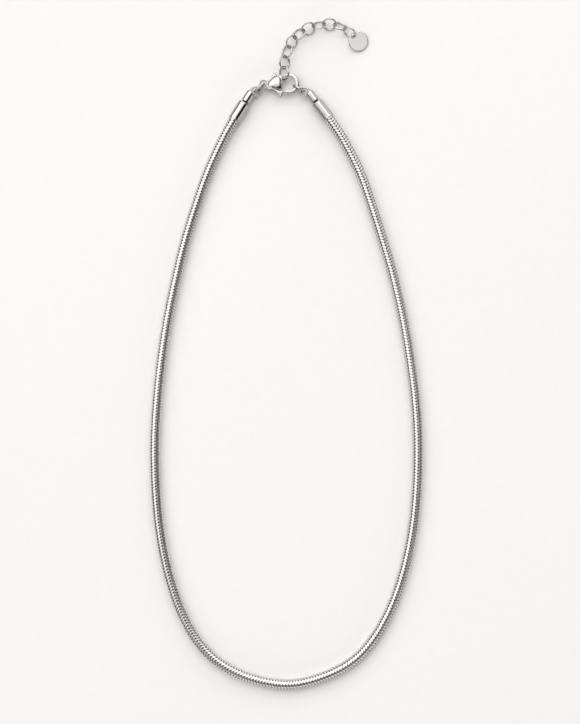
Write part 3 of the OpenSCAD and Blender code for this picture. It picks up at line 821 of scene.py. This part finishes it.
def chain_stretch(name, line, run, first, last):
    """Wavy links first to last, pressed into each other. A row of points follows a link's zigzag edge,
    and run is how far along the middle line each of its points lies."""
    rows = [(rib + row[0], *row[1:]) for rib in range(first, last) for row in RIB_ROWS]
    rows.append((last, *RIB_ROWS[0][1:]))
    phase, depth, seam_shade, pit_depth, pit_shade = np.array(rows).T[:, :, None]
    theta = np.linspace(0, 2 * math.pi, CHAIN_AROUND, endpoint=False)[None, :]
    twist = np.radians(TWIST_START + TWIST_GAIN * phase * RIB_PITCH / run[-1])
    wave = np.sin(RIB_WAVES * theta + twist)
    swing = np.arcsin(RIB_POINTED * wave) / math.asin(RIB_POINTED)
    at = (phase + RIB_SWING * swing) * RIB_PITCH
    pit = np.maximum(0, (np.abs(wave) - PIT_FROM) / (1 - PIT_FROM))
    slope = np.gradient(line, run, axis=0)
    centre = np.stack([np.interp(at, run, line[:, k]) for k in range(3)], axis=-1)
    along = np.stack([np.interp(at, run, slope[:, k]) for k in range(3)], axis=-1)
    along /= np.linalg.norm(along, axis=-1)[..., None]
    side = np.cross([0, 0, 1], along)
    side /= np.linalg.norm(side, axis=-1)[..., None]
    up = np.cross(along, side)
    r = (CHAIN_R - depth - pit * pit_depth)[..., None]
    points = centre + r * (np.cos(theta)[..., None] * side + np.sin(theta)[..., None] * up)
    n, m = points.shape[:2]
    i, j = np.meshgrid(np.arange(n - 1), np.arange(m), indexing="ij")
    nj = (j + 1) % m
    faces = np.stack([i * m + j, i * m + nj, (i + 1) * m + nj, (i + 1) * m + j], axis=-1).reshape(-1, 4)
    # Painted shade in the seams, and in the pits between the links.
    dark = np.minimum(seam_shade + np.minimum(PIT_DARKENS * pit, 1) * pit_shade, 1)
    piece = put(name, points.reshape(-1, 3), faces, [CHAIN_STEEL], "necklace",
                "snake_chain", marks={"seam_shade": dark.ravel()})
    piece.data.set_sharp_from_angle(angle=math.radians(CREASE))


def snake_chain():
    """Two pieces that meet halfway round. The chain's ends stay hidden in the caps' bores."""
    line = chain_line()
    run = np.concatenate([[0], np.cumsum(np.linalg.norm(np.diff(line, axis=0), axis=1))])
    ribs = int(run[-1] / RIB_PITCH) - 1
    middle = ribs // 2
    chain_stretch("snake_chain_links_left", line, run, 1, middle)
    chain_stretch("snake_chain_links_right", line, run, middle, ribs)


snake_chain()
end_cap("end_cap_left_turned", "end_cap_left", LEFT_MOUTH, LEFT_TURN, -1)
end_cap("end_cap_right_turned", "end_cap_right", RIGHT_MOUTH, RIGHT_TURN, 1)
jump_rings()
clasp()
extender_links()
tag()


# Table, light and camera

LIGHT_DISTANCE = 2.7
# Each softbox: name, azimuth, angle from straight up, width, height, radiance. The two key lights
# overlap, so that their light falls off towards the zenith.
SOFTBOXES = [
    ("key_softbox", 118, 30, 6.4, 4.2, 1.28),
    ("key_core", 118, 38, 6.4, 3.2, 0.85),
    ("side_softbox", 62, 73, 5.0, 1.4, 1.15),
    ("low_fill", -68, 70, 6.0, 1.6, 1.1),
    ("low_card", -135, 68, 3.0, 1.4, 0.55),
]


def floor():
    """A square of white board under the necklace."""
    half = 4.0
    corners = [(-half, -half, 0), (half, -half, 0), (half, half, 0), (-half, half, 0)]
    mesh = bpy.data.meshes.new("table")
    mesh.from_pydata(corners, [], [(0, 1, 2, 3)])
    mesh.materials.append(table_paper())
    board = bpy.data.objects.new("table", mesh)
    bpy.context.scene.collection.objects.link(board)


def softbox(name, azimuth, polar, width, height, radiance):
    """A flat light of even radiance, aimed at the necklace."""
    light = bpy.data.lights.new(name, "AREA")
    light.shape = "RECTANGLE"
    light.size = width
    light.size_y = height
    light.energy = radiance * math.pi * width * height
    lamp = bpy.data.objects.new(name, light)
    a = math.radians(azimuth)
    p = math.radians(polar)
    way = Vector((math.sin(p) * math.cos(a), math.sin(p) * math.sin(a), math.cos(p)))
    lamp.location = LIGHT_DISTANCE * way
    lamp.rotation_euler = (-lamp.location).to_track_quat("-Z", "Y").to_euler()
    lamp.visible_camera = False
    bpy.context.scene.collection.objects.link(lamp)


def camera():
    """Straight down from 0.7 m. The photograph's frame is 185.6 mm wide at the height of the chain's
    middle line. The sensor and the lens are in millimetres."""
    distance = 0.7
    over = (0.0012, -0.0026)
    frame_w = 0.1856
    sensor = 36.0
    data = bpy.data.cameras.new("camera")
    data.sensor_fit = "HORIZONTAL"
    data.sensor_width = sensor
    data.lens = sensor * (distance - CHAIN_R * MM) / frame_w
    eye = bpy.data.objects.new("camera", data)
    eye.location = (*over, distance)
    bpy.context.scene.collection.objects.link(eye)
    bpy.context.scene.camera = eye


def studio():
    """A dark room, which the steel mirrors as its dark lines, and the softboxes."""
    world = bpy.data.worlds.new("studio")
    world.use_nodes = True
    background = world.node_tree.nodes["Background"]
    background.inputs["Color"].default_value = linear("#2E2C2A")
    background.inputs["Strength"].default_value = 1.0
    bpy.context.scene.world = world
    for box in SOFTBOXES:
        softbox(*box)
    bpy.context.scene.view_settings.view_transform = "Standard"


floor()
studio()
camera()
